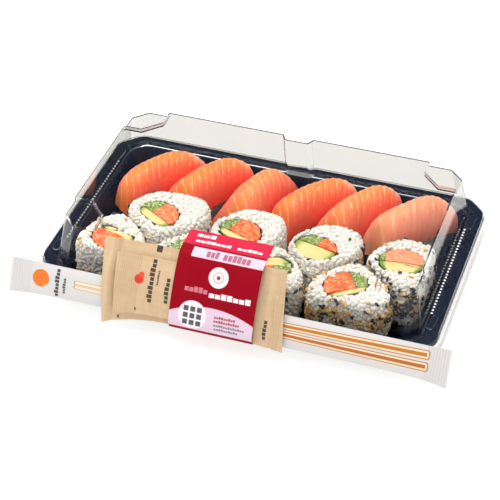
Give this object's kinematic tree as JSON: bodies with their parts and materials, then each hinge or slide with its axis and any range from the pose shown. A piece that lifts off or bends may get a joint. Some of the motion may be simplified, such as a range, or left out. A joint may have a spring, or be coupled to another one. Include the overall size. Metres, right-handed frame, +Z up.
{
  "type": "takeaway sushi tray",
  "caption": "Shut takeaway tray of nigiri and cut sushi rolls: a black tray with a clear lid, and a card band that holds sauce sachets and wrapped chopsticks to its front.",
  "frame": {"origin": "bottom centre of the whole pack's bounding box, on the surface that it rests on", "axes": "+X to the right along the long side, +Y from the front with the sachets to the back, +Z up"},
  "size_m": [0.2496, 0.1578, 0.0495],
  "materials": {
    "tray": "glossy black moulded plastic",
    "lid": "thin clear plastic, glossy",
    "band": "printed card with a satin coat",
    "kraft": "plain light brown sachet paper, slightly shiny",
    "paper": "off-white paper sleeve, matt",
    "fish": "moist raw salmon",
    "salmon": "moist chopped salmon",
    "rice": "cooked rice, slightly moist",
    "nori": "dark dried seaweed",
    "avocado": "soft yellow-green avocado",
    "greens": "chopped green leaves"
  },
  "bodies": {
    "root": {"tray": "tray", "lid": "lid", "band": "band", "soy_sachet": "kraft", "wasabi_sachet": "kraft", "chopstick_sleeve": "paper", "nigiri_1_fish": "fish", "nigiri_1_rice": "rice", "nigiri_2_fish": "fish", "nigiri_2_rice": "rice", "nigiri_3_fish": "fish", "nigiri_3_rice": "rice", "nigiri_4_fish": "fish", "nigiri_4_rice": "rice", "nigiri_5_fish": "fish", "nigiri_5_rice": "rice", "nigiri_6_fish": "fish", "nigiri_6_rice": "rice", "roll_back_1_rice": "rice", "roll_back_1_nori": "nori", "roll_back_1_avocado": "avocado", "roll_back_1_salmon": "salmon", "roll_back_1_greens": "greens", "roll_back_2_rice": "rice", "roll_back_2_nori": "nori", "roll_back_2_avocado": "avocado", "roll_back_2_salmon": "salmon", "roll_back_2_greens": "greens", "roll_back_3_rice": "rice", "roll_back_3_nori": "nori", "roll_back_3_avocado": "avocado", "roll_back_3_salmon": "salmon", "roll_back_3_greens": "greens", "roll_back_4_rice": "rice", "roll_back_4_nori": "nori", "roll_back_4_avocado": "avocado", "roll_back_4_salmon": "salmon", "roll_back_4_greens": "greens", "roll_front_1_rice": "rice", "roll_front_1_nori": "nori", "roll_front_1_avocado": "avocado", "roll_front_1_salmon": "salmon", "roll_front_1_greens": "greens", "roll_front_2_rice": "rice", "roll_front_2_nori": "nori", "roll_front_2_avocado": "avocado", "roll_front_2_salmon": "salmon", "roll_front_2_greens": "greens", "roll_front_3_rice": "rice", "roll_front_3_nori": "nori", "roll_front_3_avocado": "avocado", "roll_front_3_salmon": "salmon", "roll_front_3_greens": "greens", "roll_front_4_rice": "rice", "roll_front_4_nori": "nori", "roll_front_4_avocado": "avocado", "roll_front_4_salmon": "salmon", "roll_front_4_greens": "greens"}
  },
  "joints": []
}
